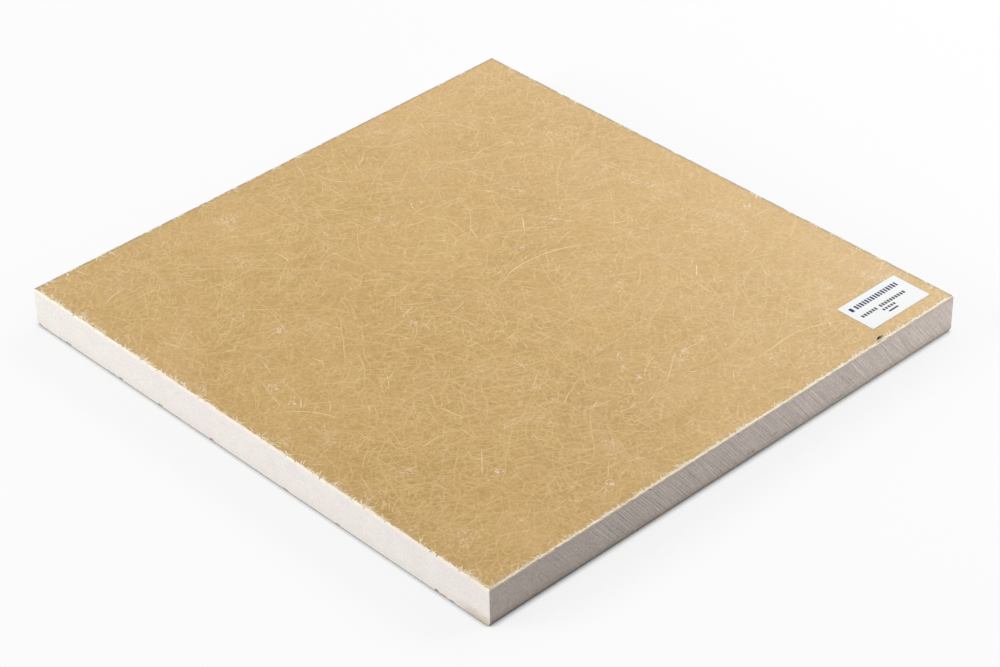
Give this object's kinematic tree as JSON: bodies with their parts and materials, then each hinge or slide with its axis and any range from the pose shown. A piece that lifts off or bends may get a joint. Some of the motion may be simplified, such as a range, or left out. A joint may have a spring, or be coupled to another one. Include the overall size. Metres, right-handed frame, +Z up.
{
  "type": "fiberglass sheet",
  "caption": "Thick, nearly square sheet of glass-mat laminate with sawn, slightly chipped edges and a small paper label near one corner.",
  "frame": {"origin": "centre of the sheet's lower broad face, which it lies on", "axes": "+Z up through the thickness, out of the face with the label; +Y along the longer side; +X along the shorter side, the way the label's long side runs"},
  "size_m": [0.287, 0.298, 0.0196],
  "materials": {
    "laminate": "tan glass-mat laminate, satin broad faces and dry sawn edges",
    "label_paper": "matt white label paper"
  },
  "bodies": {
    "root": {"sheet": "laminate", "label": "label_paper"}
  },
  "joints": []
}
